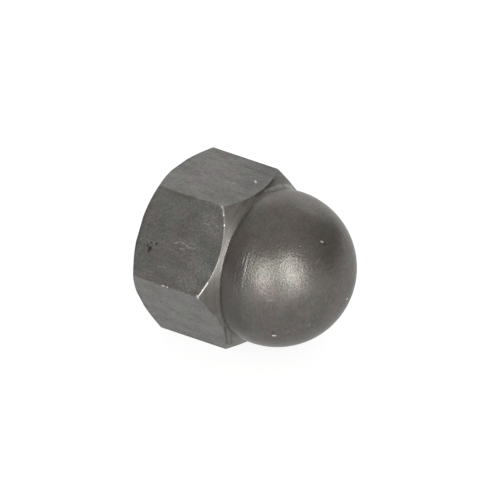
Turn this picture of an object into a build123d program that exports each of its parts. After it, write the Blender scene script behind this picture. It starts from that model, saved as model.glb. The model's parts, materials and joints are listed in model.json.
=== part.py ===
from build123d import *
import os
from math import atan2, cos, degrees, radians, sqrt, tan

# Steering wheel nut: a high domed cap nut, turned in one piece from hexagon bar.
# Sizes are in millimetres and angles in degrees. The thread's axis is +X, from the
# bearing face at x = 0 to the top of the dome. The nut lies on one flat of its hexagon,
# so +Z is up and two corners of the hexagon point along +Y and -Y.

# Thread in the blind hole
thread_diameter = 18.0
thread_pitch = 1.5

# Mouth of the hole
countersink_margin = 1.4  # how much wider the mouth is than the thread
countersink_angle = 120.0  # of the whole cone

# Blind end of the hole
undercut_margin = 0.3  # how much wider the undercut is than the thread
undercut_width = 4.0
undercut_bevel = 0.7  # across each of its two outer corners
drill_point_angle = 118.0  # of the whole cone
crown_wall = 5.5  # metal between the drill point and the top of the dome

# Hexagon
across_flats = 27.0
bar_corner_radius = 0.3  # drawn bar has slightly rounded corners
hexagon_height = 16.84  # from the bearing face to the neck, where the dome begins

# Chamfers turned on the hexagon, with angles measured from the bearing face
bearing_face_margin = 0.16  # the turned bearing face is this much wider than the flats
bearing_chamfer_angle = 33.8
dome_chamfer_angle = 42.8

# Dome and neck
total_height = 32.7
dome_inset = 0.34  # how far the dome's widest circle lies inside the flats
neck_fillet_radius = 0.3  # left by the nose of the turning tool

# Bar metal that the chamfer cones pass through outside the corners
cutting_margin = 1.0


# Sizes that follow from those above
triangle_height = thread_pitch * sqrt(3) / 2
thread_depth = 5 / 8 * triangle_height  # a metric thread keeps 5/8 of its triangle
minor_radius = thread_diameter / 2 - thread_depth
mouth_radius = (thread_diameter + countersink_margin) / 2
countersink_depth = (mouth_radius - minor_radius) / tan(radians(countersink_angle / 2))
undercut_radius = (thread_diameter + undercut_margin) / 2
drill_point_height = minor_radius / tan(radians(drill_point_angle / 2))
hole_depth = total_height - crown_wall - drill_point_height
thread_end = hole_depth - undercut_width

corner_radius = across_flats / 2 / cos(radians(30))
outer_radius = corner_radius + cutting_margin
bearing_face_radius = (across_flats + bearing_face_margin) / 2
bearing_slope = tan(radians(bearing_chamfer_angle))
dome_slope = tan(radians(dome_chamfer_angle))

dome_radius = across_flats / 2 - dome_inset
dome_centre = total_height - dome_radius
neck_radius = sqrt(dome_radius**2 - (dome_centre - hexagon_height) ** 2)


def turned_profile():
    """Half section of what the lathe leaves: two chamfers, the neck and the ball-shaped dome.

    The dome starts on the circle where its chamfer ends, a little behind its widest place.
    """
    neck = (hexagon_height, neck_radius)
    chamfers = Polyline(
        (0, 0),
        (0, bearing_face_radius),
        ((outer_radius - bearing_face_radius) * bearing_slope, outer_radius),
        (hexagon_height - (outer_radius - neck_radius) * dome_slope, outer_radius),
        neck,
    )
    turn = degrees(atan2(neck_radius, hexagon_height - dome_centre))
    dome = CenterArc((dome_centre, 0), dome_radius, turn, -turn)
    axis = Line((total_height, 0), (0, 0))
    profile = make_face(chamfers + dome + axis)
    neck_corner = profile.vertices().sort_by_distance((*neck, 0))[0]
    return fillet(neck_corner, neck_fillet_radius)


def hexagon_bar():
    """Length of drawn hexagon bar, lying on a flat with a corner towards +Y."""
    section = RegularPolygon(across_flats / 2, 6, major_radius=False)
    section = fillet(section.vertices(), bar_corner_radius)
    return extrude(Plane.YZ * section, total_height)


def hole_profile():
    """Half section of the blind hole: countersink, tapping drill and undercut."""
    drilled = make_face(
        Polyline(
            (0, 0),
            (0, mouth_radius),
            (countersink_depth, minor_radius),
            (hole_depth, minor_radius),
            (hole_depth + drill_point_height, 0),
            (0, 0),
        )
    )
    undercut = Pos(hole_depth - undercut_width / 2, undercut_radius / 2) * Rectangle(
        undercut_width, undercut_radius
    )
    outer_corners = undercut.vertices().sort_by(Axis.Y)[-2:]
    return drilled + chamfer(outer_corners, undercut_bevel)


def cap_nut():
    """The nut: bar turned to its profile, then drilled, countersunk and undercut."""
    turned = revolve(turned_profile(), Axis.X)
    hole = revolve(hole_profile(), Axis.X)
    return (hexagon_bar() & turned) - hole


os.makedirs("parts", exist_ok=True)
nut = cap_nut()
export_step(nut, "parts/cap_nut.step")
print("volume mm3", round(nut.volume, 1))
print("thread wall from", round(countersink_depth, 3), "to", round(thread_end, 3))
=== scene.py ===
# %% [markdown]
# # A domed cap nut for a steering wheel
#
# The nut is one piece of steel. A length of hexagon bar is turned in a lathe: the corners
# are chamfered at both ends, a ball-shaped dome is formed on one end, and a blind hole is
# drilled and tapped in the other. The solid model holds all of that apart from the thread.
# This lesson gives it its skin: one closed mesh with eased edges and a real thread, and a
# finish for each way that the metal was cut.

# %% Load the solid model
import json

import bpy
import numpy as np
from mathutils import Matrix, Vector


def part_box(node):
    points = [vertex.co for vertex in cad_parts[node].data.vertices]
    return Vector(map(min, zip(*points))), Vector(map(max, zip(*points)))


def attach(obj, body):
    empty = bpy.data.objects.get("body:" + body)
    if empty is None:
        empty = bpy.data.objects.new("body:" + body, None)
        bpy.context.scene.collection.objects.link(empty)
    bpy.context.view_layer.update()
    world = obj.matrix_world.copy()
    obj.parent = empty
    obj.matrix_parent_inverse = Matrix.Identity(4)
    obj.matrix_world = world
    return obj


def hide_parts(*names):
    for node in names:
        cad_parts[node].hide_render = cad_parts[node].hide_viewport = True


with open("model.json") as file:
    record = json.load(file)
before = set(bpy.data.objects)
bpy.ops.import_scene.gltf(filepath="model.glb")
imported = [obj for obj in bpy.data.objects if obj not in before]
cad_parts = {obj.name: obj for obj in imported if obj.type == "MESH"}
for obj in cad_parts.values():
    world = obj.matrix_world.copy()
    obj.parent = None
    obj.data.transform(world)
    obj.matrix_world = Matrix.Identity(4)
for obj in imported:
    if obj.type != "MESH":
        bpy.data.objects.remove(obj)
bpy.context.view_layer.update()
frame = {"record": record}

# %% [markdown]
# ## Sizes
#
# The sizes that set the whole nut are read from the solid and from its record, so the skin
# cannot drift away from it. The others repeat the drawing. Everything here is in
# millimetres, as on a drawing, and turns into metres when a mesh is made.

# %% Sizes read from the solid
MM = 0.001
NODE = "cap_nut"
node_low, node_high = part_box(NODE)
across_flats = (node_high[2] - node_low[2]) / MM
total_height = (node_high[0] - node_low[0]) / MM
floor_level = node_low[2] / MM
thread_mount = next(m for m in frame["record"]["mounts"] if m["name"] == "thread")
minor_radius = thread_mount["dims"]["r_mm"]
print(f"across flats {across_flats:.2f}, height {total_height:.2f}, tapping drill {2 * minor_radius:.2f}")

# %% Sizes from the drawing
hexagon_height = 16.84  # from the bearing face to the neck, where the dome begins
bearing_face_margin = 0.16  # the turned bearing face is this much wider than the flats
bearing_chamfer_angle = 33.8  # degrees from the bearing face, as is the next angle
dome_chamfer_angle = 42.8
dome_inset = 0.34  # how far the dome's widest circle lies inside the flats
neck_fillet_radius = 0.3

thread_diameter = 18.0
thread_pitch = 1.5
countersink_margin = 1.4  # how much wider the mouth is than the thread
countersink_angle = 120.0  # degrees, of the whole cone
undercut_margin = 0.3  # how much wider the undercut is than the thread
undercut_width = 4.0
undercut_bevel = 0.7
drill_point_angle = 118.0  # degrees, of the whole cone
crown_wall = 5.5  # metal between the drill point and the top of the dome

# %% Sizes that follow from those
bearing_face_radius = (across_flats + bearing_face_margin) / 2
bearing_slope = np.tan(np.radians(bearing_chamfer_angle))
dome_chamfer = np.radians(dome_chamfer_angle)
dome_slope = np.tan(dome_chamfer)
dome_radius = across_flats / 2 - dome_inset
dome_centre = total_height - dome_radius
neck_radius = np.sqrt(dome_radius**2 - (dome_centre - hexagon_height) ** 2)

thread_radius = thread_diameter / 2
mouth_radius = (thread_diameter + countersink_margin) / 2
countersink_depth = (mouth_radius - minor_radius) / np.tan(np.radians(countersink_angle / 2))
undercut_radius = (thread_diameter + undercut_margin) / 2
drill_point_height = minor_radius / np.tan(np.radians(drill_point_angle / 2))
hole_depth = total_height - crown_wall - drill_point_height
thread_end = hole_depth - undercut_width
print(f"dome radius {dome_radius:.2f}, neck radius {neck_radius:.2f}, hole depth {hole_depth:.2f}")

# %% [markdown]
# ## Camera
#
# The photograph was taken from far away with a long lens, so lines that run side by side
# on the nut stay so in the picture. An orthographic camera gives exactly that. Its two
# angles and its slight tilt come from how the hexagon's edges lie in the photograph, and
# its aim from where the nut sits in the frame.

# %% Camera
camera_azimuth = np.radians(35.6)
camera_elevation = np.radians(29.48)
camera_roll = np.radians(-0.83)
view_width = 82.6  # what the picture's width spans on the nut
camera_aim = np.array([14.19, -0.22, 1.75])
camera_distance = 400.0


def camera_axes(azimuth, elevation, roll):
    """Right, up and backward directions of a camera. Azimuth turns it round the Z axis from
    the -Y side, elevation lifts it, and roll turns the picture about the line of sight."""
    back = np.array([np.sin(azimuth) * np.cos(elevation), -np.cos(azimuth) * np.cos(elevation),
                     np.sin(elevation)])
    level = np.array([np.cos(azimuth), np.sin(azimuth), 0.0])
    upright = np.cross(back, level)
    right = np.cos(roll) * level + np.sin(roll) * upright
    return right, np.cross(back, right), back


def standing(place, axes):
    """Matrix of an object that stands at a place in metres, with its own axes along the
    three that are given. They are the columns of the matrix."""
    turn = Matrix(np.array(axes).T.tolist())
    return Matrix.Translation(Vector(place)) @ turn.to_4x4()


right, up, back = camera_axes(camera_azimuth, camera_elevation, camera_roll)
camera_data = bpy.data.cameras.new("camera")
camera_data.type = "ORTHO"
camera_data.ortho_scale = view_width * MM
camera_data.clip_start, camera_data.clip_end = 0.01, 5.0  # metres
camera = bpy.data.objects.new("camera", camera_data)
bpy.context.collection.objects.link(camera)
camera.matrix_world = standing((camera_aim + back * camera_distance) * MM, (right, up, back))
bpy.context.scene.camera = camera
print("camera looks along", np.round(-back, 3))

# %% [markdown]
# ## Eased corners
#
# No real edge is perfectly sharp, and it is the narrow round on an edge that catches the
# light. A running average gives that round: each point of the sharp outline is replaced by
# the average of the outline over a short stretch on both sides of it. Straight lines stay
# where they are, and every corner turns into a small smooth curve, even where two corners
# come close together. Filleting the corners one by one would fail exactly there.

# %% Ease the corners of an outline
def along(corners):
    """Distance of each corner from the first, along the outline. Corners is (corner, column, 2)."""
    lengths = np.linalg.norm(np.diff(corners, axis=0), axis=2)
    return np.concatenate([np.zeros((1, corners.shape[1])), np.cumsum(lengths, axis=0)])


def eased(corners, reach, distance):
    """Points at the given distances along an outline whose corners are eased.

    Each point is the average of the sharp outline from reach before it to reach after it.
    On each side of the outline that is the midpoint of the overlap, weighted by its length.
    Corners is (corner, column, 2) and distance is (row, column).
    """
    start = along(corners)[:-1, None]
    stop = along(corners)[1:, None]
    direction = np.diff(corners, axis=0)[:, None] / (stop - start)[..., None]
    first, last = start.copy(), stop.copy()
    first[0], last[-1] = -np.inf, np.inf
    low = np.clip(distance - reach, first, last)
    high = np.clip(distance + reach, first, last)
    middle = (low + high) / 2 - start
    points = corners[:-1, None] + direction * middle[..., None]
    return (points * (high - low)[..., None]).sum(axis=0) / (2 * reach)


square = np.array([[0.0, 0.0], [1.0, 0.0], [1.0, 1.0]])[:, None]
print("a square corner at [1 0], eased over 0.2 on both sides, moves to",
      eased(square, 0.2, np.array([[1.0]]))[0, 0])

# %% Rows along one side
rows_by_corner = np.array([0.2, 0.6, 1.0])  # in parts of the eased stretch
short_side_share = 0.4  # the most of a short side that the rows near a corner take


def spread(length, count, reach):
    """Distances of rows along one side: close together near its ends, where the corners are
    eased, and even between them. Length is one value for each column."""
    near = rows_by_corner[:, None] * np.minimum(reach, short_side_share * length)
    inner = np.linspace(0, 1, count + 2)[1:-1, None]
    middle = near[-1] + inner * (length - 2 * near[-1])
    return np.concatenate([near, middle, length - near[::-1]])


# %% [markdown]
# ## Columns round the hexagon
#
# The skin is a grid. Its columns run round the nut, and its rows run from the bottom of the
# hole, out over the bearing face and the flats, to the top of the dome. The columns are
# placed on the outline of the bar: six equal sides, with the slightly rounded corners of
# cold-drawn steel. They are packed more closely at the corners, so the rounding is smooth.

# %% Columns round the hexagon
bar_corner_reach = 0.19  # how far on both sides of a corner the bar is eased
columns_by_corner = np.array([0.0, 0.33, 0.67, 1.0, 1.5])  # in parts of that reach
columns_per_half_side = 40
side_length = across_flats / np.sqrt(3)
sixth_turn = np.radians(60.0)


def bar_section(per_half_side):
    """Outline of the bar as angles and radii, one for each column.

    One corner is eased between the middles of its two sides, then turned by sixths of a
    turn. It is as far from the axis as a side is long. Distances from the corner grow from
    fine steps at the corner to even ones.
    """
    middle = across_flats / 2 * np.exp(1j * sixth_turn * np.array([-0.5, 0.5]))
    corner = np.array([middle[0], side_length, middle[1]])
    corners = np.stack([corner.real, corner.imag], axis=1)[:, None]
    fine = bar_corner_reach * columns_by_corner
    even = np.linspace(fine[-1], side_length / 2, per_half_side - len(fine) + 2)[1:-1]
    half = np.concatenate([fine, even])
    distance = side_length / 2 + np.concatenate([[-side_length / 2], -half[:0:-1], half])
    points = eased(corners, bar_corner_reach, distance[:, None])[:, 0]
    one = points[:, 0] + 1j * points[:, 1]
    turns = np.exp(1j * sixth_turn * np.arange(6))[:, None]
    ring = (turns * one[None]).ravel()
    return np.unwrap(np.angle(ring)), np.abs(ring)


angle, bar_radius = bar_section(columns_per_half_side)
columns = len(angle)
print("columns", columns, "across corners", round(2 * bar_radius.max(), 3))

# %% [markdown]
# ## The turned outside
#
# Cut the nut through its axis at any angle and the outline has the same six corners: where
# the thread begins, the rim of the countersink, the edge of the bearing face, the two ends
# of the flat and the neck. Only their places change, because the bar's radius changes
# round the hexagon. The two chamfers are cones, so each end of a flat lies where the cone
# reaches the bar's radius, and that alone draws the curved arcs on the flats.
#
# The dome is a ball that is a little more than half a sphere, so it draws in again towards
# the hexagon. Where it meets the chamfer, the round nose of the turning tool leaves a small
# fillet. From there on the outline is the same at every angle, as on anything turned.

# %% Fillet at the neck
def neck_fillet():
    """Centre of the fillet's circle, as (x, radius), and the angles at its two ends.

    The circle lies outside the metal. It touches the chamfer, so its centre is the fillet's
    radius away from that line, and it touches the ball, so its centre is both radii away
    from the ball's. Those two facts give a quadratic for the distance along the chamfer.
    """
    outward = np.array([np.cos(dome_chamfer), np.sin(dome_chamfer)])
    inward = np.array([np.sin(dome_chamfer), -np.cos(dome_chamfer)])
    from_ball = np.array([hexagon_height - dome_centre, neck_radius]) + neck_fillet_radius * outward
    half_b = from_ball @ inward
    c = from_ball @ from_ball - (dome_radius + neck_fillet_radius) ** 2
    centre = from_ball + (-half_b - np.sqrt(half_b**2 - c)) * inward
    ball_angle = np.arctan2(centre[1], centre[0])
    return centre + [dome_centre, 0], np.pi + dome_chamfer, np.pi + ball_angle


fillet_centre, fillet_start, fillet_end = neck_fillet()
chamfer_end = fillet_centre + neck_fillet_radius * np.array([np.cos(fillet_start), np.sin(fillet_start)])
print("the chamfer ends at x, radius", np.round(chamfer_end, 3))

# %% Outline of the hexagon part for every column
edge_break = 0.06  # least width of the bearing chamfer, in the middle of a flat
edge_reach = 0.11  # how far on both sides of an edge the outline is eased
even_rows = {"bearing face": 5, "bearing chamfer": 3, "flat": 40, "dome chamfer": 8}
mouth_rim = 0.5  # width of the ring round the mouth that the hole's grid covers
join_radius = mouth_radius + mouth_rim


def hexagon_corners(radius):
    """Corners of the outline at each column, as (corner, column, (x, radius))."""
    face_edge = np.minimum(bearing_face_radius, radius - edge_break)
    flat_start = (radius - face_edge) * bearing_slope
    flat_end = hexagon_height - (radius - neck_radius) * dome_slope
    same = np.ones_like(radius)
    return np.array([
        [0 * same, join_radius * same],
        [0 * same, face_edge],
        [flat_start, radius],
        [flat_end, radius],
        [chamfer_end[0] * same, chamfer_end[1] * same],
    ]).transpose(0, 2, 1)


def hexagon_outline(radius):
    """Rows of the outline from the bearing face to the neck, the name of the stretch that
    each is on, and how far each is along the outline."""
    corners = hexagon_corners(radius)
    start = along(corners)
    rows, stretch = [], []
    for i, (name, count) in enumerate(even_rows.items()):
        length = start[i + 1] - start[i]
        rows.append(start[i] + spread(length, count, edge_reach))
        stretch += [name] * len(rows[-1])
    distance = np.concatenate(rows)
    return eased(corners, edge_reach, distance), np.array(stretch), distance


hexagon, hexagon_stretch, hexagon_distance = hexagon_outline(bar_radius)
print("hexagon rows", len(hexagon_stretch))

# %% Outline of the neck and the dome
neck_rows = 7
ball_rows = 65


def dome_outline():
    """Rows round the fillet and then round the ball to just before the top, as
    (row, 1, (x, radius)), and how far each is from the end of the chamfer."""
    turn = np.linspace(fillet_start, fillet_end, neck_rows + 1)[1:]
    neck = fillet_centre + neck_fillet_radius * np.stack([np.cos(turn), np.sin(turn)], axis=1)
    rise = np.linspace(fillet_end - np.pi, 0, ball_rows + 2)[1:-1]
    ball = [dome_centre, 0] + dome_radius * np.stack([np.cos(rise), np.sin(rise)], axis=1)
    past_neck = neck_fillet_radius * (fillet_end - fillet_start)
    distance = np.concatenate([
        neck_fillet_radius * (turn - fillet_start),
        past_neck + dome_radius * (fillet_end - np.pi - rise),
    ])
    return np.concatenate([neck, ball])[:, None], distance


dome, dome_distance = dome_outline()
print("dome rows", len(dome))

# %% [markdown]
# ## The tapped hole
#
# Each tool that enters the hole removes what it can reach, so the wall is simply the
# largest of what the tools cut: the tapping drill with its pointed end, the countersink at
# the mouth, the undercut at the blind end, and the groove that the tap cuts along a helix.
# The groove has the metric form: flanks 60 degrees apart, with a narrow flat at the root.

# %% Blind end of the hole
drill_point_shares = np.array([0.04, 0.15, 0.3, 0.5, 0.7, 0.85, 0.96, 1.0])
rows_at_bend = edge_reach * np.array([-1.0, -0.4, 0.4, 1.0])


def drill_point():
    """Rows down the drill's cone: shares of the way from its tip to the undercut."""
    share = drill_point_shares[:, None]
    tip = np.array([[hole_depth + drill_point_height, 0]])
    return tip * (1 - share) + np.array([[hole_depth, minor_radius]]) * share


def undercut():
    """Rows over one bevel of the undercut, along its wall and over the other bevel."""
    corners = np.array([
        [hole_depth, undercut_radius - undercut_bevel],
        [hole_depth - undercut_bevel, undercut_radius],
        [thread_end + undercut_bevel, undercut_radius],
        [thread_end, undercut_radius - undercut_bevel],
    ])[:, None]
    length = along(corners)[:, 0]
    bends = length[1:3, None] + rows_at_bend
    distance = np.concatenate([[0], bends.ravel(), length[3:]])
    return eased(corners, edge_reach, distance[:, None])[:, 0]


# %% Open end of the hole
thread_rows = 136
countersink_rows = 12
rows_at_foot = edge_reach * np.array([-0.3, 0.3, 1.0])
rows_at_rim = edge_reach * np.array([-0.5, 0.0, 0.5, 1.0])
wall_before_foot = 1.0  # drilled wall that the easing of the countersink's foot needs


def drilled_wall():
    """Even rows from the undercut to just before the countersink."""
    x = np.linspace(thread_end, countersink_depth + edge_reach, thread_rows)
    return np.stack([x, np.full_like(x, minor_radius)], axis=1)


def countersink():
    """Rows round the foot of the countersink, up its cone and over its rim."""
    corners = np.array([
        [countersink_depth + wall_before_foot, minor_radius],
        [countersink_depth, minor_radius],
        [0, mouth_radius],
        [0, join_radius],
    ])[:, None]
    foot, rim = along(corners)[1:3, 0]
    cone = np.linspace(foot + edge_reach, rim - edge_reach, countersink_rows)[1:]
    distance = np.concatenate([foot + rows_at_foot, cone, rim + rows_at_rim])
    return eased(corners, edge_reach, distance[:, None])[:, 0]


hole_rows = np.concatenate([drill_point(), undercut(), drilled_wall(), countersink()])
print("hole rows", len(hole_rows))

# %% Cut the thread into the wall
root_half_width = thread_pitch / 16
flank_angle = 30.0  # degrees between a flank and the radius
flank_slope = np.tan(np.radians(flank_angle))
column_share = 4  # columns of the outside for each column of the hole


def tap(x, turn):
    """Radius that the tap cuts at x and an angle.

    Along the axis the groove repeats once a pitch, and it moves on by a pitch for every turn.
    Its root is flat for a sixteenth of a pitch to each side. Past that, the radius falls by
    the distance along the axis over the tangent of the flank's angle.
    """
    phase = (x / thread_pitch - turn / (2 * np.pi)) % 1.0
    aside = np.abs(phase - 0.5) * thread_pitch - root_half_width
    return thread_radius - np.maximum(aside, 0) / flank_slope


hole_angle = angle[::column_share]
hole_x = np.repeat(hole_rows[:, :1], len(hole_angle), axis=1)
in_reach = hole_x < hole_depth - undercut_width / 2  # the tap stops inside the undercut
tapped_radius = np.maximum(hole_rows[:, 1:], tap(hole_x, hole_angle[None]))
hole_radius = np.where(in_reach, tapped_radius, hole_rows[:, 1:])
threaded = (hole_rows[:, 0] > countersink_depth) & (hole_rows[:, 0] < thread_end)
print("the groove reaches radius", round(hole_radius[threaded].max(), 3))

# %% [markdown]
# ## One closed skin
#
# The hole needs far fewer columns than the outside, because it is smaller and hidden, so it
# has one for every four. The two grids meet on the bearing face, where everything lies in
# one plane, and a band of triangles joins them there. A single point closes each end: the
# tip of the drill's cone, and the top of the dome.

# %% Points of the skin
def around(x, radius, turn):
    """Points at the given places along the axis, distances from it and angles round it."""
    x, radius, turn = np.broadcast_arrays(x, radius, turn)
    return np.stack([x, radius * np.cos(turn), radius * np.sin(turn)], axis=-1)


outside_x = np.concatenate([hexagon[..., 0], np.repeat(dome[..., 0], columns, axis=1)])
outside_radius = np.concatenate([hexagon[..., 1], np.repeat(dome[..., 1], columns, axis=1)])
outside = around(outside_x, outside_radius, angle[None])
inside = around(hole_x, hole_radius, hole_angle[None])
tip = np.array([[hole_depth + drill_point_height, 0, 0]])
top = np.array([[total_height, 0, 0]])
print("grid outside", outside.shape[:2], "grid inside", inside.shape[:2])


# %% Faces of the skin
def quads(rows, count, first):
    """Corner numbers of a grid's faces. The grid closes on itself round the axis."""
    row = np.arange(rows - 1)[:, None] * count
    here = np.arange(count)[None]
    after = (here + 1) % count
    face = np.stack([row + here, row + after, row + count + after, row + count + here], axis=-1)
    return face.reshape(-1, 4) + first


def fan(point, ring, count, flip):
    """Triangles from a point to a ring of the given count, which starts at number ring.
    Flip turns them over."""
    here = np.arange(count)
    pair = [ring + here, ring + (here + 1) % count]
    return np.stack([np.full(count, point)] + (pair[::-1] if flip else pair), axis=-1)


def seam(coarse, fine, count, share):
    """Triangles between a ring of count points and one with share times as many."""
    here = np.arange(count)
    after = (here + 1) % count
    half = share // 2
    faces = [np.stack([coarse + here, coarse + after, fine + share * here + half], axis=-1)]
    for step in range(share):
        owner = here if step < half else after
        one = fine + share * here + step
        two = fine + (share * here + step + 1) % (share * count)
        faces.append(np.stack([coarse + owner, two, one], axis=-1))
    return np.concatenate(faces)


first_outside = inside.shape[0] * inside.shape[1]
tip_number = first_outside + outside.shape[0] * outside.shape[1]
top_number = tip_number + 1
skin_quads = np.concatenate([
    quads(*inside.shape[:2], 0),
    quads(*outside.shape[:2], first_outside),
])
skin_triangles = np.concatenate([
    fan(tip_number, 0, len(hole_angle), True),
    seam(first_outside - len(hole_angle), first_outside, len(hole_angle), column_share),
    fan(top_number, tip_number - columns, columns, False),
])
print("triangles in all", 2 * len(skin_quads) + len(skin_triangles))

# %% [markdown]
# ## From points to a mesh
#
# The grids become one mesh with nothing left open. Three facts go with every point for the
# finishes to use: how far it is from the nearest edge that wears, how far along the turned
# outline it is, and through its faces which of the four finishes it has.

# %% Distances that the finishes need
far_from_edge = 5.0
last_dome_step = 0.3  # from the last row of the dome to its top


def edge_distance():
    """Distance in mm of each outside point from the nearest outer edge.

    That is the smaller of two: along the outline to one of its three outer corners, and on
    the flats also across the flat to the nearest corner of the bar.
    """
    start = along(hexagon_corners(bar_radius))[:, None]
    near = np.abs(hexagon_distance[None] - start[1:4]).min(axis=0)
    from_corner = np.abs((angle + sixth_turn / 2) % sixth_turn - sixth_turn / 2)
    across = side_length / 2 - across_flats / 2 * np.tan(sixth_turn / 2 - from_corner)
    on_flat = (hexagon_stretch == "flat")[:, None]
    near = np.where(on_flat, np.minimum(near, across[None]), near)
    return np.concatenate([near, np.full((len(dome), columns), far_from_edge)])


def turned_distance():
    """Distance in mm along the turned outline: from the axis on the bearing face and its
    chamfer, and from the neck on the rest."""
    start = along(hexagon_corners(bar_radius))
    from_neck = hexagon_distance - start[4]
    by_bearing = np.isin(hexagon_stretch, ["bearing face", "bearing chamfer"])[:, None]
    lay = np.where(by_bearing, hexagon[..., 1], from_neck)
    return np.concatenate([lay, np.repeat(dome_distance[:, None], columns, axis=1)])


inside_lay = along(hole_rows[:, None])[:, 0]
inside_edge = np.hypot(hole_rows[:, 0], hole_rows[:, 1] - mouth_radius)
inside_lay, inside_edge = [np.repeat(v, len(hole_angle)) for v in (inside_lay, inside_edge)]
top_lay = dome_distance[-1] + last_dome_step
point_values = {
    "edge": np.concatenate([inside_edge, edge_distance().ravel(), [far_from_edge, far_from_edge]]),
    "lay": np.concatenate([inside_lay, turned_distance().ravel(), [0.0, top_lay]]),
}

# %% The finish of each face
DRAWN, TURNED, DOMED, TAPPED = range(4)  # places in the nut's list of finishes
hexagon_finish = np.where(hexagon_stretch == "flat", DRAWN, TURNED)
row_finish = np.concatenate([hexagon_finish, np.full(len(dome), DOMED)])
outside_finish = np.repeat(row_finish[1:], columns)
inside_finish = np.full((inside.shape[0] - 1) * inside.shape[1], TAPPED)
triangle_finish = np.concatenate([
    np.full(len(hole_angle), TAPPED),
    np.full((1 + column_share) * len(hole_angle), TURNED),
    np.full(columns, DOMED),
])
face_finish = np.concatenate([inside_finish, outside_finish, triangle_finish])
print("faces of each finish", np.bincount(face_finish))

# %% Put the skin into a mesh
points = np.concatenate([inside.reshape(-1, 3), outside.reshape(-1, 3), tip, top])
mesh = bpy.data.meshes.new("cap_nut_skin")
mesh.from_pydata(points * MM, [], skin_quads.tolist() + skin_triangles.tolist())
mesh.shade_smooth()
for name, values in point_values.items():
    mesh.attributes.new(name, "FLOAT", "POINT").data.foreach_set("value", values.astype(np.float32))
mesh.polygons.foreach_set("material_index", face_finish.astype(np.int32))
mesh.update()
nut = bpy.data.objects.new("cap_nut_skin", mesh)
bpy.context.collection.objects.link(nut)


def enclosed_volume(points, triangles):
    """Volume in cubic mm: the sum of the pyramids from the origin to each triangle. It is
    positive only if the faces point outwards."""
    a, b, c = points[triangles].transpose(1, 0, 2)
    return np.einsum("ij,ij->i", a, np.cross(b, c)).sum() / 6


all_triangles = np.concatenate([skin_quads[:, :3], skin_quads[:, [0, 2, 3]], skin_triangles])
sides = np.concatenate([all_triangles[:, [i, (i + 1) % 3]] for i in range(3)])
uses = np.unique(np.sort(sides), axis=0, return_counts=True)[1]
print("volume", round(enclosed_volume(points, all_triangles), 1), "cubic mm,",
      "edges not shared by two faces:", int((uses != 2).sum()))

# %% [markdown]
# ## Building materials from nodes
#
# Each finish is a small network. These helpers keep the networks readable: one adds a node
# and fills its inputs by name, and the others are the few sums that every finish uses.

# %% Helpers for nodes
def add(tree, kind, inputs=None, **settings):
    """Adds a node. A value in inputs is either a number or colour, or an output to link."""
    node = tree.nodes.new("ShaderNode" + kind)
    for name, value in settings.items():
        setattr(node, name, value)
    for name, value in (inputs or {}).items():
        if isinstance(value, bpy.types.NodeSocket):
            tree.links.new(value, node.inputs[name])
        else:
            node.inputs[name].default_value = value
    return node


def maths(tree, operation, one, two=0.0, three=0.0):
    """Output of a Math node."""
    return add(tree, "Math", {0: one, 1: two, 2: three}, operation=operation).outputs[0]


def times(tree, one, two):
    """Product of two values."""
    return maths(tree, "MULTIPLY", one, two)


def blend_of(tree, parts):
    """Sum of the values in parts, each times its share."""
    total = times(tree, *parts[0])
    for value, share in parts[1:]:
        total = maths(tree, "MULTIPLY_ADD", value, share, total)
    return total


def band(tree, value, low, high, to_low=0.0, to_high=1.0):
    """The value from low to high, turned smoothly into a value from to_low to to_high."""
    node = add(tree, "MapRange", {"Value": value, "From Min": low, "From Max": high,
                                  "To Min": to_low, "To Max": to_high},
               interpolation_type="SMOOTHSTEP")
    return node.outputs["Result"]


def fading(tree, value, full, gone):
    """1 where the value is below full, falling smoothly to 0 where it reaches gone."""
    return band(tree, value, full, gone, 1.0, 0.0)


# %% Helpers for places, noise and colour
def place_in_mm(tree):
    """Object coordinates, in millimetres."""
    coordinates = add(tree, "TexCoord").outputs["Object"]
    return add(tree, "Mapping", {"Vector": coordinates, "Scale": [1 / MM] * 3}).outputs[0]


def parts_of(tree, vector):
    """The x, y and z of a vector."""
    return add(tree, "SeparateXYZ", {0: vector}).outputs


def kept(tree, name):
    """A value that the mesh keeps at its points, such as the distance from an edge."""
    return add(tree, "Attribute", attribute_name=name).outputs["Fac"]


def noise(tree, place, per_mm, detail=3.0, roughness=0.6, stretch=(1, 1, 1), shift=0.0):
    """Noise between about 0 and 1 at a place in mm, with about per_mm bumps in each mm. The
    bumps are longer in a direction where stretch is small. Shift gives another pattern."""
    mapped = add(tree, "Mapping", {"Vector": place, "Scale": [per_mm * s for s in stretch],
                                   "Location": (shift, 0, 0)})
    node = add(tree, "TexNoise", {"Vector": mapped.outputs[0], "Scale": 1.0, "Detail": detail,
                                  "Roughness": roughness})
    return node.outputs["Fac"]


def mixed(tree, share, one, two, blend="MIX"):
    """Colour between one and two. These numbers are the colour sockets of a Mix node."""
    one, two = [c if isinstance(c, bpy.types.NodeSocket) else (*c, 1) for c in (one, two)]
    inputs = {0: share, 6: one, 7: two}
    return add(tree, "Mix", inputs, data_type="RGBA", blend_type=blend).outputs[2]


def coated(tree, color, coats):
    """The colour with thin coats over it, from the lowest up. Each is where it lies, the
    share of its paint there, and the paint."""
    for mark, share, paint in coats:
        color = mixed(tree, times(tree, mark, share), color, paint)
    return color


def graded(tree, shade, dark, light):
    """Colour from dark to light, by a shade whose values lie round a half."""
    return mixed(tree, band(tree, shade, 0.36, 0.64), dark, light)


def with_cast(tree, color, patches, one, two):
    """The colour times a faint cast of one colour or the other, by patches."""
    cast = mixed(tree, band(tree, patches, 0.4, 0.6), one, two)
    return mixed(tree, 1.0, color, cast, "MULTIPLY")


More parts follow.
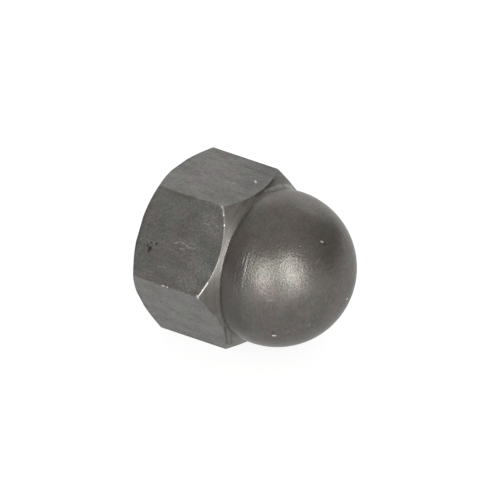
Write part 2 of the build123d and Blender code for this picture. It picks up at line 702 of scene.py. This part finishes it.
# %% Helpers for a metal finish
def metal(name, anisotropy, turn):
    """An empty metal finish. Its tangent runs round the nut, at right angles to the axis and
    to the radius, and turn is by what part of a full turn the wide side of the gloss is
    turned away from that."""
    material = bpy.data.materials.new(name)
    material.use_nodes = True
    tree = material.node_tree
    tree.nodes.clear()
    part = parts_of(tree, add(tree, "TexCoord").outputs["Object"])
    round_the_nut = add(tree, "CombineXYZ", {"Y": times(tree, part[2], -1.0), "Z": part[1]})
    shader = add(tree, "BsdfPrincipled", {
        "Metallic": 1.0, "Tangent": round_the_nut.outputs[0],
        "Anisotropic": anisotropy, "Anisotropic Rotation": turn,
    })
    add(tree, "OutputMaterial", {"Surface": shader.outputs[0]})
    return material, tree, shader


def finish_metal(material, shader, color, roughness, height):
    """Puts colour, roughness and relief into a metal finish. Height is in mm."""
    tree = material.node_tree
    height = times(tree, height, MM)
    bump = add(tree, "Bump", {"Height": height, "Distance": 1.0, "Strength": 1.0})
    outputs = {"Base Color": color, "Roughness": roughness, "Normal": bump.outputs[0]}
    for socket, value in outputs.items():
        tree.links.new(value, shader.inputs[socket])
    print(material.name, "is made of", len(tree.nodes), "nodes")


# %% [markdown]
# ## Marks of use
#
# A nut that has lain among others has a few pits and scratches. Each is given by where it
# is on the nut, in millimetres, so it stays there from every side. A pit is a soft-edged
# ball of influence round a point, and a scratch is the same round a short line.

# %% Helpers for pits and scratches
full_share = 0.25  # a mark is full up to this part of its width, and fades from there
no_length = 1e-6  # keeps a round spot from being divided by nothing


def ragged(tree, place, amount):
    """A small uneven length in mm, which keeps the rims of marks from being perfect circles."""
    uneven = noise(tree, place, per_mm=3.0, detail=2.0)
    return maths(tree, "MULTIPLY_ADD", uneven, 2 * amount, -amount)


def near_line(tree, place, start, end, width, uneven):
    """1 on the line from start to end, fading to 0 at about the width away from it.

    The nearest point of the line is found by how far along it the place projects, held
    between its two ends. With start and end alike it is a round spot.
    """
    start, end = np.array(start, float), np.array(end, float)
    length = max(np.linalg.norm(end - start), no_length)
    unit = tuple((end - start) / length)
    offset = add(tree, "VectorMath", {0: place, 1: tuple(start)}, operation="SUBTRACT").outputs[0]
    ahead = add(tree, "VectorMath", {0: offset, 1: unit}, operation="DOT_PRODUCT").outputs["Value"]
    ahead = add(tree, "Clamp", {"Value": ahead, "Min": 0.0, "Max": float(length)}).outputs[0]
    nearest = add(tree, "VectorMath", {0: unit, 3: ahead}, operation="SCALE").outputs[0]
    away = add(tree, "VectorMath", {0: offset, 1: nearest}, operation="DISTANCE").outputs["Value"]
    return fading(tree, maths(tree, "ADD", away, uneven), full_share * width, width)


def all_marks(tree, place, marks, uneven=0.0):
    """Largest of several marks, each as (start, end, width) in mm."""
    total = near_line(tree, place, *marks[0], uneven)
    for mark in marks[1:]:
        total = maths(tree, "MAXIMUM", total, near_line(tree, place, *mark, uneven))
    return total


def spot(at, radius):
    """A round mark."""
    return at, at, radius


# %% [markdown]
# ## Drawn steel
#
# The six flats are the skin of the bar as it was drawn through a die: dull and grainy, with
# fine streaks along the bar. The grain is a relief, so it shows most on the flat that looks
# towards the edge of a lamp. The edges are rubbed lighter, most of all the burr that the
# turning tool pushed up along the arc on the near side, which also carries a painted
# highlight. A few places on the front flat are painted lighter, as painted light. On the
# top flat, darker patches and lines are painted shade. A few places are rusty.

# %% Pits and scratches on the flats
flat_pits = [
    spot((2.89, -12.97, 4.54), 0.62),
    spot((2.31, -12.77, 4.88), 0.32),
    spot((2.87, -12.48, 5.39), 0.28),
    spot((2.82, -13.22, 4.1), 0.34),
    spot((3.87, -12.44, 5.46), 0.36),
    spot((1.4, -11.2, 7.6), 0.2),
    spot((6.2, 3.4, 13.5), 0.18),
    spot((11.5, 12.6, 5.2), 0.3),
    spot((4.6, 9.9, -9.9), 0.35),
    spot((9.0, -2.2, -13.5), 0.3),
]
flat_scratches = [
    ((7.21, -11.96, 6.29), (8.42, -11.65, 6.82), 0.17),
    ((8.63, -11.67, 6.79), (10.2, -11.87, 6.43), 0.18),
    ((10.04, -11.94, 6.32), (12.1, -11.69, 6.76), 0.16),
    ((7.79, -12.22, 5.83), (9.38, -12.16, 5.93), 0.15),
    ((10.17, -11.53, 7.03), (11.57, -11.5, 7.08), 0.15),
    ((11.6, -9.6, 10.37), (14.2, -9.45, 10.63), 0.16),
    ((5.2, -14.2, 2.4), (6.9, -14.05, 2.66), 0.14),
    ((9.7, -0.4, 13.5), (11.3, -0.2, 13.5), 0.17),
    ((6.5, 11.9, 6.4), (10.2, 12.6, 5.2), 0.12),
    ((3.0, 10.6, -8.6), (7.5, 11.3, -7.4), 0.12),
]
print(len(flat_pits), "pits and", len(flat_scratches), "scratches on the flats")

# %% Painted light, painted shade and rust on the flats
# Painted light: lighter places on the front flat, near the arc.
painted_light_patches = [
    ((12.2, -9.3, 10.9), (13.6, -9.9, 9.9), 2.4),
    ((11.0, -14.6, 1.8), (12.6, -14.8, 1.4), 2.2),
    ((12.0, -13.0, 4.5), (12.8, -13.4, 3.8), 2.0),
    ((14.2, -13.2, 4.2), (14.9, -13.5, 3.7), 1.5),
]
# Painted shade: darker patches on the top flat, towards the dome.
top_flat_shade_patches = [
    ((9.5, 6.0, 13.5), (14.4, 6.6, 13.5), 1.5),
    ((13.6, 1.5, 13.5), (13.6, 6.0, 13.5), 4.0),
]
# Painted shade: dark lines on the top flat, in the colour of dirt and with no relief.
top_flat_shade_lines = [
    ((9.6, 5.35, 13.5), (14.6, 5.2, 13.5), 0.32),
    ((6.6, 7.45, 13.5), (14.0, 7.55, 13.5), 0.4),
]
rust_spots = [
    spot((2.9, -13.0, 4.5), 1.25),
    ((2.8, -7.95, 13.25), (8.9, -7.95, 13.25), 0.4),
    ((2.4, -15.55, 0.05), (4.8, -15.5, 0.15), 0.4),
    spot((13.5, -15.25, 0.55), 0.75),
    spot((0.9, -9.75, 10.1), 0.6),
]

# %% Bright ticks, and burrs that carry a painted highlight, on the edges
ticks = [
    ((13.6, 2.35, 13.5), (14.1, 1.9, 13.5), 0.19),
    spot((14.3, -15.5, 0.18), 0.34),
    ((4.9, 8.9, -10.5), (5.6, 9.1, -10.4), 0.18),
]
# Burrs along the arcs and the lower edge: real burrs whose light colour is also a painted highlight.
burrs = [
    ((13.9, -7.69, 13.6), (14.7, -8.4, 12.4), 0.3),
    spot((15.49, -9.21, 11.05), 0.26),
    ((15.45, -14.2, 2.4), (14.55, -15.6, 0.0), 0.28),
    spot((14.5, -15.66, -0.1), 0.5),
    ((7.3, -15.6, -0.03), (7.55, -15.6, -0.03), 0.24),
    ((8.15, -15.6, -0.03), (8.27, -15.6, -0.03), 0.22),
]

# %% Colours that several finishes share, with a dirt colour that is also painted shade
bright_steel = (0.27, 0.26, 0.245)
# bare steel for the bright ticks, and a painted highlight for the burrs
bare_steel_and_highlight = (0.58, 0.56, 0.53)
# dirt in pits and grime, and the same dark colour as painted shade for marks on the flats and chamfers
dirt_and_shade = (0.030, 0.029, 0.028)
green_cast = (0.97, 1.0, 0.96)
grime_depth = 0.8


def grime(tree, place):
    """1 at the bearing face and 0 from the grime's depth on: grime round the nut's lower rim."""
    from_face = parts_of(tree, place)[0]
    return fading(tree, from_face, full_share * grime_depth, grime_depth)


# %% Patterns of the drawn steel
drawn, tree, shader = metal("drawn_steel", anisotropy=0.3, turn=0.0)
place = place_in_mm(tree)
edge = kept(tree, "edge")
streaks = noise(tree, place, per_mm=4.0, stretch=(0.10, 1, 1))
mottle = noise(tree, place, per_mm=0.5, detail=5.0, stretch=(0.6, 1, 1))
grain = noise(tree, place, per_mm=3.0, roughness=0.7, stretch=(0.75, 1, 1))
patches = noise(tree, place, per_mm=0.3, detail=2.0, roughness=0.5, shift=7.0)
grainy = band(tree, grain, 0.36, 0.64)
shade = blend_of(tree, [(streaks, 0.2), (mottle, 0.35), (grain, 0.45)])

# %% Marks of the drawn steel
uneven = ragged(tree, place, 0.16)
pit, scratch, burr, top_flat_shade_line, tick, rusty = [
    all_marks(tree, place, marks, uneven)
    for marks in (flat_pits, flat_scratches, burrs, top_flat_shade_lines, ticks, rust_spots)
]
# Painted light on the front flat.
brighter = all_marks(tree, place, painted_light_patches)
# Painted shade: darker patches and lines on the top flat.
top_flat_shade = all_marks(tree, place, top_flat_shade_patches)
rubbed = times(tree, fading(tree, edge, 0.03, 0.16), grainy)
# Painted highlight, with some real wear: the burr near an edge, in a light colour.
bare = times(tree, fading(tree, edge, 0.10, 0.32), burr)

# %% Colour, gloss and relief of the drawn steel
drawn_dark = (0.120, 0.118, 0.113)
drawn_light = (0.190, 0.188, 0.182)
# painted light: the colour of the lighter places on the front flat
painted_light_steel = (0.220, 0.216, 0.208)
# painted shade: the colour of the darker patches on the top flat
shadowed_steel = (0.105, 0.106, 0.110)
scratched_steel = (0.35, 0.34, 0.32)
rust = (0.115, 0.075, 0.045)
red_cast = (1.03, 0.98, 1.0)

steel = coated(tree, graded(tree, shade, drawn_dark, drawn_light), [
    # painted light on the front flat
    (times(tree, brighter, grainy), 0.9, painted_light_steel),
    # painted shade on the top flat
    (top_flat_shade, 0.45, shadowed_steel),
])
color = coated(tree, with_cast(tree, steel, patches, green_cast, red_cast), [
    (rubbed, 0.55, bright_steel),
    (times(tree, rusty, grainy), 0.45, rust),
    # painted shade: dark lines on the top flat
    (times(tree, top_flat_shade_line, grainy), 0.60, dirt_and_shade),
    (grime(tree, place), 0.35, dirt_and_shade),
    # painted highlight on the burr
    (bare, 1.0, bare_steel_and_highlight),
    (times(tree, scratch, grainy), 0.85, scratched_steel),
    (tick, 0.9, bare_steel_and_highlight),
    (pit, 0.88, dirt_and_shade),
])
rough = blend_of(tree, [(band(tree, shade, 0.35, 0.65, 0.52, 0.42), 1.0), (bare, -0.12)])
height = blend_of(tree, [(grain, 0.10), (streaks, 0.012), (pit, -0.08), (scratch, -0.010)])
finish_metal(drawn, shader, color, rough, height)

# %% [markdown]
# ## Turned steel
#
# The chamfers and the bearing face carry the fine spiral that the point of a lathe tool
# leaves. Distance along the outline gives that spiral exactly, because it is the same all
# the way round, so the marks come from that number and not from the place in space. The
# chamfer beside the neck also has a few dark marks of painted shade and, on the far side,
# bright glints of painted highlight. One place on the near chamfer is painted darker, as
# painted shade.

# %% Marks of a lathe tool
def turning_marks(tree, place, lay, per_mm, length, detail=3.0):
    """Noise that is fine across the marks, per_mm of them in each mm, and about length mm
    long round the nut."""
    part = parts_of(tree, place)
    across = times(tree, lay, per_mm)
    round_y, round_z = [maths(tree, "DIVIDE", part[i], length) for i in (1, 2)]
    where = add(tree, "CombineXYZ", {0: across, 1: round_y, 2: round_z}).outputs[0]
    node = add(tree, "TexNoise", {"Vector": where, "Scale": 1.0, "Detail": detail, "Roughness": 0.6})
    return node.outputs["Fac"]


# %% Painted shade and painted highlights on the chamfers
# Painted shade: dark marks on the chamfer beside the neck, in the colour of dirt.
chamfer_shade_marks = [
    ((16.36, -1.4, 13.33), (16.28, 2.4, 13.31), 0.38),
    ((16.28, 2.4, 13.31), (15.76, 4.37, 13.35), 0.5),
    ((16.65, -11.08, -6.97), (15.21, -8.7, -11.78), 0.32),
    ((17.0, -9.87, -7.99), (15.44, -7.6, -12.22), 0.26),
]
# Painted highlights: bright glints along the neck on the far side.
chamfer_glints = [
    ((16.65, 1.1, 13.05), (16.62, 4.3, 12.42), 0.48),
    ((16.62, 4.3, 12.42), (16.4, 8.0, 10.7), 0.6),
    ((16.4, 8.0, 10.7), (16.25, 9.2, 9.9), 0.75),
]
# Painted shade: one place on the near chamfer is painted darker.
chamfer_shade_patch = [((15.6, -13.95, 1.2), (15.5, -14.2, -2.2), 2.8)]
print(len(chamfer_shade_marks), "shade_marks and", len(chamfer_glints), "glints on the chamfers")

# %% Patterns and marks of the turned steel
turned, tree, shader = metal("turned_steel", anisotropy=0.5, turn=0.25)
place = place_in_mm(tree)
edge = kept(tree, "edge")
lay = kept(tree, "lay")
rings = turning_marks(tree, place, lay, per_mm=3.5, length=12.0)
fine = turning_marks(tree, place, lay, per_mm=5.0, length=1.5)
mottle = noise(tree, place, per_mm=0.6, detail=4.0)
shade = blend_of(tree, [(rings, 0.45), (fine, 0.3), (mottle, 0.25)])

uneven = ragged(tree, place, 0.10)
burr = all_marks(tree, place, burrs, uneven)
# Painted shade on the chamfer beside the neck.
chamfer_shade = all_marks(tree, place, chamfer_shade_marks, uneven)
# Painted shade on the near chamfer.
chamfer_patch_shade = all_marks(tree, place, chamfer_shade_patch)
broken_up = band(tree, fine, 0.36, 0.62, 0.35, 1.0)
# Painted highlight: the glints, broken up by the fine marks.
glint = times(tree, all_marks(tree, place, chamfer_glints), broken_up)
worn = times(tree, fading(tree, edge, 0.03, 0.14), band(tree, mottle, 0.4, 0.6))
# Painted highlight, with some real wear: the burr near an edge, in a light colour.
bare = times(tree, fading(tree, edge, 0.08, 0.26), burr)

# %% Colour, gloss and relief of the turned steel
turned_dark = (0.124, 0.115, 0.105)
turned_light = (0.176, 0.168, 0.155)
# painted highlight colour for the glints
glint_highlight_steel = (0.36, 0.355, 0.34)

color = coated(tree, graded(tree, shade, turned_dark, turned_light), [
    # painted shade on the near chamfer
    (chamfer_patch_shade, 0.22, dirt_and_shade),
    # painted highlight: the glints
    (glint, 0.80, glint_highlight_steel),
    # painted shade beside the neck
    (chamfer_shade, 0.55, dirt_and_shade),
    (grime(tree, place), 0.35, dirt_and_shade),
    (worn, 0.55, bright_steel),
    # painted highlight on the burr
    (bare, 1.0, bare_steel_and_highlight),
])
rough = band(tree, shade, 0.35, 0.65, 0.50, 0.40)
height = blend_of(tree, [(rings, 0.010), (fine, 0.012)])
finish_metal(turned, shader, color, rough, height)

# %% [markdown]
# ## The dome
#
# A form tool shapes the ball and emery cloth smooths it while it spins, so it is smoother
# than the chamfer, and its fine short scratches still run round the axis. Just past the
# neck, where the cloth reaches badly, a few deeper rings of the tool are left, and their
# ridges carry a painted highlight. Its rim mirrors a little less than clean steel would.
# Beside the neck some places are painted lighter as a painted reflection, and one cheek is
# painted darker as painted shade.

# %% Pits, nicks and scuffs on the dome
dome_pits = [
    spot((29.92, -0.7, 8.06), 0.4),
    spot((32.36, 1.59, -2.3), 0.24),
    spot((25.75, -10.2, -5.6), 0.45),
    spot((20.54, -8.12, 10.31), 0.24),
    spot((27.82, -5.13, 8.84), 0.22),
    spot((28.05, -0.85, 9.95), 0.28),
    spot((18.0, -11.87, -5.52), 0.3),
    spot((24.5, 9.9, 7.2), 0.3),
    spot((20.2, 6.5, -11.4), 0.35),
]
dome_nicks = [
    ((29.55, -1.03, 8.5), (29.42, -1.22, 8.62), 0.24),
    ((32.28, 1.75, -2.7), (32.23, 1.99, -2.87), 0.2),
    ((25.5, -9.82, -6.43), (25.8, -9.66, -6.45), 0.26),
]
dome_scuffs = [
    ((30.44, -4.23, 6.11), (30.43, -3.29, 6.61), 0.2),
    ((25.6, -11.54, 1.1), (26.3, -11.28, 1.15), 0.3),
    spot((20.62, -8.05, 10.34), 0.26),
    spot((21.2, -8.68, 9.75), 0.28),
    spot((28.05, -0.72, 10.0), 0.3),
    spot((30.2, -6.2, -4.59), 0.55),
    spot((27.7, -8.72, -5.53), 0.35),
    spot((18.04, -11.9, -5.4), 0.4),
    spot((32.3, -2.41, -2.14), 0.3),
]
print(len(dome_pits), "pits,", len(dome_nicks), "nicks and", len(dome_scuffs), "scuffs on the dome")

# %% Places beside the neck
# Painted reflection: lighter places on the dome beside the neck.
neck_reflection_places = [
    ((16.9, 2.6, 12.6), (17.0, 4.6, 12.0), 0.9),
    ((17.0, 4.8, 11.9), (18.6, 6.4, 11.5), 1.5),
]
# Painted shade: one cheek of the dome is painted darker.
cheek_shade_place = [((19.3, -12.9, 2.2), (19.2, -12.3, -5.0), 3.6)]
tool_rings_from, tool_rings_to = 2.8, 5.8  # mm along the outline from the neck
tool_rings_start, tool_rings_end = 0.5, 1.5  # over how many mm they begin and end
tool_ring_places = [
    ((20.6, -10.6, 7.7), (20.9, -12.8, 2.8), 3.8),
    ((20.6, 9.0, 9.3), (20.9, 12.6, 3.4), 3.8),
    ((20.6, 1.0, -13.0), (20.9, 5.0, -12.0), 3.8),
]

# %% Patterns of the dome steel
dome_rim_gloss = 0.78  # oxide makes bare steel mirror less at a slant than clean steel does

domed, tree, shader = metal("dome_steel", anisotropy=0.40, turn=0.25)
shader.inputs["Specular Tint"].default_value = (dome_rim_gloss, dome_rim_gloss, dome_rim_gloss, 1)
place = place_in_mm(tree)
lay = kept(tree, "lay")
rings = turning_marks(tree, place, lay, per_mm=2.2, length=16.0, detail=2.0)
strokes = turning_marks(tree, place, lay, per_mm=3.2, length=1.0)
mottle = noise(tree, place, per_mm=0.35, detail=4.0)
grain = noise(tree, place, per_mm=2.4, detail=2.0, roughness=0.7)
patches = noise(tree, place, per_mm=0.25, detail=2.0, roughness=0.5, shift=3.0)
shade = blend_of(tree, [(rings, 0.12), (strokes, 0.28), (mottle, 0.30), (grain, 0.30)])

# %% Marks of the dome steel
uneven = ragged(tree, place, 0.10)
pit, nick, scuff = [
    all_marks(tree, place, marks, uneven) for marks in (dome_pits, dome_nicks, dome_scuffs)
]
broken_up = band(tree, strokes, 0.38, 0.62, 0.35, 1.0)
# Painted reflection beside the neck, broken up by the strokes.
neck_reflection = times(tree, all_marks(tree, place, neck_reflection_places), broken_up)
# Painted shade on one cheek.
cheek_shade = all_marks(tree, place, cheek_shade_place)

# %% Tool rings beside the neck
ring_zone = times(tree,
                  band(tree, lay, tool_rings_from, tool_rings_from + tool_rings_start),
                  fading(tree, lay, tool_rings_to - tool_rings_end, tool_rings_to))
ring_zone = times(tree, ring_zone, all_marks(tree, place, tool_ring_places))
ring_noise = turning_marks(tree, place, lay, per_mm=3.0, length=5.0, detail=1.0)
deep = times(tree, ring_noise, ring_zone)
# Painted highlight: the ridges of the tool rings are painted lighter, over their real relief.
ring_ridge_highlight = times(tree, band(tree, ring_noise, 0.52, 0.62), ring_zone)

# %% Colour, gloss and relief of the dome steel
dome_dark = (0.106, 0.099, 0.092)
dome_light = (0.150, 0.142, 0.134)
dome_red_cast = (1.03, 0.98, 0.99)
# painted shade colour for one cheek
cheek_shade_steel = (0.075, 0.071, 0.067)
# painted reflection colour beside the neck
neck_reflection_steel = (0.25, 0.245, 0.235)
# painted highlight colour for the ridges of the tool rings
ridge_highlight_steel = (0.24, 0.23, 0.215)
nick_steel = (0.75, 0.73, 0.69)

steel = graded(tree, shade, dome_dark, dome_light)
color = coated(tree, with_cast(tree, steel, patches, green_cast, dome_red_cast), [
    # painted shade on one cheek
    (cheek_shade, 0.58, cheek_shade_steel),
    # painted reflection beside the neck
    (neck_reflection, 0.55, neck_reflection_steel),
    # painted highlight on the ring ridges
    (ring_ridge_highlight, 0.30, ridge_highlight_steel),
    (scuff, 0.35, bright_steel),
    (pit, 0.65, dirt_and_shade),
    (nick, 0.9, nick_steel),
])
rough = blend_of(tree, [(band(tree, shade, 0.35, 0.65, 0.36, 0.30), 1.0), (nick, -0.1)])
height = blend_of(tree, [(rings, 0.004), (strokes, 0.026), (grain, 0.044), (deep, 0.09), (pit, -0.05)])
finish_metal(domed, shader, color, rough, height)

# %% [markdown]
# ## The thread
#
# A tap leaves smooth flanks, and the hole is darker the further in it is.

# %% Tapped steel
clean_dark = (0.18, 0.17, 0.158)
clean_light = (0.28, 0.27, 0.255)
# colour deep in the hole, which is darker the further in it is
deep_hole_steel = (0.10, 0.085, 0.07)
darker_from, darker_to = 2.0, 20.0  # mm into the hole

tapped, tree, shader = metal("tapped_steel", anisotropy=0.3, turn=0.25)
place = place_in_mm(tree)
lay = kept(tree, "lay")
depth_in = parts_of(tree, place)[0]
rings = turning_marks(tree, place, lay, per_mm=6.0, length=8.0)
fine = noise(tree, place, per_mm=4.0)
shade = blend_of(tree, [(rings, 0.7), (fine, 0.3)])
clean = mixed(tree, band(tree, shade, 0.35, 0.65), clean_dark, clean_light)
# darker the further into the hole
color = mixed(tree, band(tree, depth_in, darker_from, darker_to), clean, deep_hole_steel)
rough = band(tree, fine, 0.35, 0.65, 0.30, 0.42)
height = blend_of(tree, [(rings, 0.006), (fine, 0.008)])
finish_metal(tapped, shader, color, rough, height)

# %% Give the nut its four finishes
# They are in the order of the numbers that its faces hold.
for material in (drawn, turned, domed, tapped):
    nut.data.materials.append(material)
print("finishes", [m.name for m in nut.data.materials])

# %% [markdown]
# ## Floor and light
#
# A small steel part shows little colour of its own: what is seen is what it mirrors, made
# soft by its roughness. So the lights are placed where each face looks. A pale wall of
# light stands behind, which the upper flat mirrors, and a fainter one at the side. Two soft
# lamps stand on the near side, a little above, and make the double highlight on the dome.
# A white floor lights the lower flat from below, and a part of it that is out of the
# picture shines brighter. Where the floor ends, the room is white below the horizon.

# %% Floor
floor_half = 2.0  # metres

floor_mesh = bpy.data.meshes.new("floor")
floor_corners = floor_half * np.array([(-1, -1), (1, -1), (1, 1), (-1, 1)])
floor_mesh.from_pydata([(x, y, floor_level * MM) for x, y in floor_corners], [], [(0, 1, 2, 3)])
floor = bpy.data.objects.new("floor", floor_mesh)
bpy.context.collection.objects.link(floor)
print("floor at z", round(floor_level, 2), "mm")

# %% White paint of the floor
floor_paint = (0.15, 0.15, 0.15, 1)
floor_glow = 0.87
lit_floor = ((120, -160, floor_level), (300, -400, floor_level), 185)
lit_floor_glow = 2.1

white = bpy.data.materials.new("white_floor")
white.use_nodes = True
tree = white.node_tree
paint = tree.nodes["Principled BSDF"]
paint.inputs["Base Color"].default_value = floor_paint
paint.inputs["Roughness"].default_value = 0.8
paint.inputs["Emission Color"].default_value = (1, 1, 1, 1)
pool = near_line(tree, place_in_mm(tree), *lit_floor, 0.0)
glow = band(tree, pool, 0.0, 1.0, floor_glow, lit_floor_glow)
tree.links.new(glow, paint.inputs["Emission Strength"])
floor_mesh.materials.append(white)

# %% Room light
room_color = (1.0, 0.97, 0.93, 1)
wall_glow, ceiling_glow, ground_glow = 0.42, 0.84, 1.1

world = bpy.data.worlds.new("studio")
world.use_nodes = True
tree = world.node_tree
room = tree.nodes["Background"]
room.inputs["Color"].default_value = room_color
# Upward is the height of a direction: 0 at the horizon and 1 straight up.
upward = parts_of(tree, add(tree, "TexCoord").outputs["Generated"])[2]
above = band(tree, upward, 0.2, 1.0, wall_glow, ceiling_glow)
below = band(tree, upward, -0.04, -0.02, ground_glow, 0.0)
tree.links.new(maths(tree, "MAXIMUM", above, below), room.inputs["Strength"])
bpy.context.scene.world = world
bpy.context.scene.view_settings.view_transform = "Standard"


# %% Lamps
def soft_lamp(name, azimuth, elevation, distance, width, height, radiance, color=(1, 1, 1)):
    """A flat rectangular lamp that faces the nut, with its sizes in metres. Azimuth and
    elevation in degrees say where it stands, as for the camera. The power of a lamp that
    sends out the same radiance everywhere is radiance times area times pi."""
    axes = camera_axes(np.radians(azimuth), np.radians(elevation), 0.0)
    data = bpy.data.lights.new(name, "AREA")
    data.shape, data.size, data.size_y = "RECTANGLE", width, height
    data.energy = radiance * np.pi * width * height
    data.color = color
    lamp = bpy.data.objects.new(name, data)
    lamp.matrix_world = standing(axes[2] * distance, axes)
    lamp.visible_camera = False
    bpy.context.collection.objects.link(lamp)
    print(name, "sends out", round(data.energy, 3), "W")


soft_lamp("lamp_left", azimuth=15.4, elevation=18.5, distance=0.6,
          width=0.20, height=0.38, radiance=6.3)
soft_lamp("lamp_right", azimuth=58.5, elevation=19.3, distance=0.6,
          width=0.20, height=0.43, radiance=7.7)
soft_lamp("side_wall", azimuth=90, elevation=22, distance=0.9,
          width=0.60, height=0.75, radiance=0.32)
soft_lamp("back_wall", azimuth=-145, elevation=22.5, distance=0.9,
          width=1.4, height=0.73, radiance=0.94, color=(0.97, 0.98, 1.0))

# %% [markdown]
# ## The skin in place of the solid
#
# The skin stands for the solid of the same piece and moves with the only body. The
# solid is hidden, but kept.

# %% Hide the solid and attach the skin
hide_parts(NODE)
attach(nut, "root")
